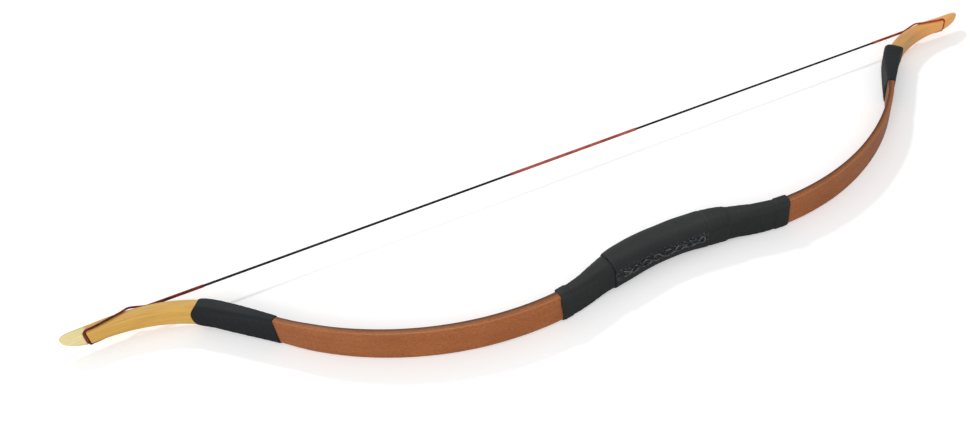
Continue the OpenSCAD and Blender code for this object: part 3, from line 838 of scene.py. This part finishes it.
for side, half, material, nose_long in (("upper", 1, upper_wood, 1.2), ("lower", -1, lower_wood, 0.88)):
    made = loft(side + "_lever", [lever_row(s, nose_long) for s in lever_stations], half, material)
    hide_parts(side + "_tip_lever")
    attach(made, side + "_tip")


# Tip wraps
# The same kind of black leather strip, wound over the joint of limb and lever and glued.
# Its outer edge is cut to a tongue along the middle of the back and of the belly.
TIP_WRAP_THICK = 1.2
TIP_WRAP_TO = 555
TONGUE = 25
tip_black = black_leather("tip_black_leather", base=(0.0034, 0.0046, 0.0060),
                          cloud=(0.0070, 0.0088, 0.0100), rough=0.6, shine=0.17)


def tip_wrap(name, low, half, pad):
    """One wrap from low outwards: over the splice it shows a lump on the belly of the upper limb."""
    strip = wound(strip=9.0, deep=0.2)

    def lift(s, n, z, out_n, out_z):
        soft = -0.6 * bump_at(s, TIP_WRAP_TO, 2.2) - 0.35 * bump_at(s, low, 1.3)
        lump = 1.6 * bump_at(s, 464, 5) * bump_at(z, -2, 8) if half > 0 and out_n > 0.7 else 0.0
        thick = 0.5 * bump_at(s, 543, 13) * max(0.0, out_z)
        return strip(s, n, z, out_n, out_z) + soft + lump + thick

    def slant(s, n, z):
        outer = max(0.0, (s - TIP_WRAP_TO + TONGUE) / TONGUE) ** 2
        inner = max(0.0, (low + 10 - s) / 10)
        return outer * (2.2 - 6.5 * (z / 15) ** 2) + 0.5 * inner * noise.noise(Vector((n, z * 0.2, low)))

    shown = [row_at(s, TIP_WRAP_THICK, lift, slant, 6, 14, pad) for s in stations(low, TIP_WRAP_TO, 1.0)]
    hidden = [row_at(s, CLEAR, None, slant, 6, 14) for s in stations(TIP_WRAP_TO, low, 14)]
    return loft(name, shown + hidden, half, tip_black, ring=True)


for side, half, low in (("upper", 1, 458.0), ("lower", -1, 456.0)):
    made = tip_wrap(side + "_tip_strip", low, half, PAD_SHARE[side])
    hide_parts(side + "_tip_wrap")
    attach(made, side + "_tip")


# String
# Waxed black strands, twisted together, from one loop serving to the other. Ten show round a core.
# Each half is straight.
STRING_LINE = 199.121 + 1000 * CENTRE.y
NOCK = Vector((594.522, 183.391 + 1000 * CENTRE.y, 1000 * CENTRE.z))
PARTS_AT = NOCK.x - 62.0
SERVED_FROM = PARTS_AT - 60.0


def on_string(x, half):
    """The point of the string x mm from its middle."""
    return Vector((half * x, STRING_LINE, 1000 * CENTRE.z)) / 1000


strand_black = waxed_thread("black_strands", base=(0.0085, 0.0075, 0.0085), dark=(0.005, 0.0045, 0.005),
                            rough=0.55)
for side, half, start in (("upper", 1, 78.4), ("lower", -1, 101.4)):
    made = thread_along(side + "_strands", [on_string(start, half), on_string(SERVED_FROM - 0.05, half)],
                        Step=0.003, Threads=10, Ring=0.00105, Thread=0.0004, Pitch=0.055 * half,
                        Core=0.0010, Sides=6, Material=strand_black)
    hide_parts(side + "_string_strands")
    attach(made, side + "_string")


# Middle serving
# Red thread wound tight over the middle of the strands, where the arrow is nocked.
# It is parted at the nocking point.
red_thread = waxed_thread("red_thread", base=(0.50, 0.105, 0.080), dark=(0.36, 0.065, 0.050), rough=0.55)
WIND = dict(Step=0.00007, Threads=1, Thread=0.0003, Pitch=0.00058, Sides=6)
MIDDLE_WIND = dict(WIND, Ring=0.0017, Core=0.00165, Material=red_thread)
for side, half, end in (("upper", 1, 78.0), ("lower", -1, 101.0)):
    made = thread_along(side + "_middle_serving", [on_string(0.6, half), on_string(end, half)],
                        **MIDDLE_WIND)
    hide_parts("string_middle", "middle_serving")
    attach(made, side + "_string")
made = thread_along("nocking_turns", [on_string(-0.9, 1), on_string(0.9, 1)], **MIDDLE_WIND)
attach(made, "nocking_point")


# Loop servings and loops
# Near each tip the string is served with red thread, brighter at the upper tip, then it parts into two
# served legs.
# They run down the sides of the lever and meet in the notch across its back.
LOOP_THICK = 2.3
LEG_OUT = level(WIDTH, NOTCH_AT) / 2 + LOOP_THICK / 2 + 0.2
reds = {"upper": waxed_thread("bright_red_thread", base=(0.50, 0.052, 0.030), dark=(0.27, 0.022, 0.014),
                              rough=0.5),
        "lower": waxed_thread("dark_red_thread", base=(0.24, 0.016, 0.012), dark=(0.085, 0.008, 0.008),
                              rough=0.5)}


def leg(half, way):
    """Points of one leg, from where the string parts to the notch: over the lever or, with -1, under it."""
    middle = 1000 * CENTRE.z
    free = [Vector((half * (PARTS_AT + x), STRING_LINE - drop, middle + way * z)) / 1000
            for x, drop, z in ((0.3, 0, 1.25), (3, 0.1, 1.9), (7, 1.0, 4.4))]
    beside = [spot(s, level(DEPTH, s) / 2 + n, way * (level(WIDTH, s) / 2 + out), half)
              for s, n, out in ((619, 1.3, -1.7), (624, -0.9, 1.0), (631, -4.4, 1.4), (645, -8.2, 1.45),
                                (658, -10.7, 1.4))]
    round_back = [Vector((half * (NOCK.x - 3.2), NOCK.y + 1.8, middle + way * LEG_OUT)) / 1000,
                  Vector((half * (NOCK.x - 0.2), NOCK.y, middle + way * 8.5)) / 1000]
    return free + beside + round_back


for side, half in (("upper", 1), ("lower", -1)):
    made = thread_along(side + "_loop_winding", [on_string(SERVED_FROM, half), on_string(PARTS_AT, half)],
                        Ring=0.0016, Core=0.00155, Material=reds[side], **WIND)
    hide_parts(side + "_loop_serving")
    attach(made, side + "_string")

    notch = Vector((half * NOCK.x, NOCK.y, NOCK.z)) / 1000
    made = thread_along(side + "_loop", smooth_route(leg(half, 1) + [notch] + leg(half, -1)[::-1], 10),
                        Ring=0.00105, Core=0.001, Material=reds[side],
                        **dict(WIND, Thread=0.00025, Pitch=0.0005))
    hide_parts(side + "_string_loop")
    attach(made, side + "_string")
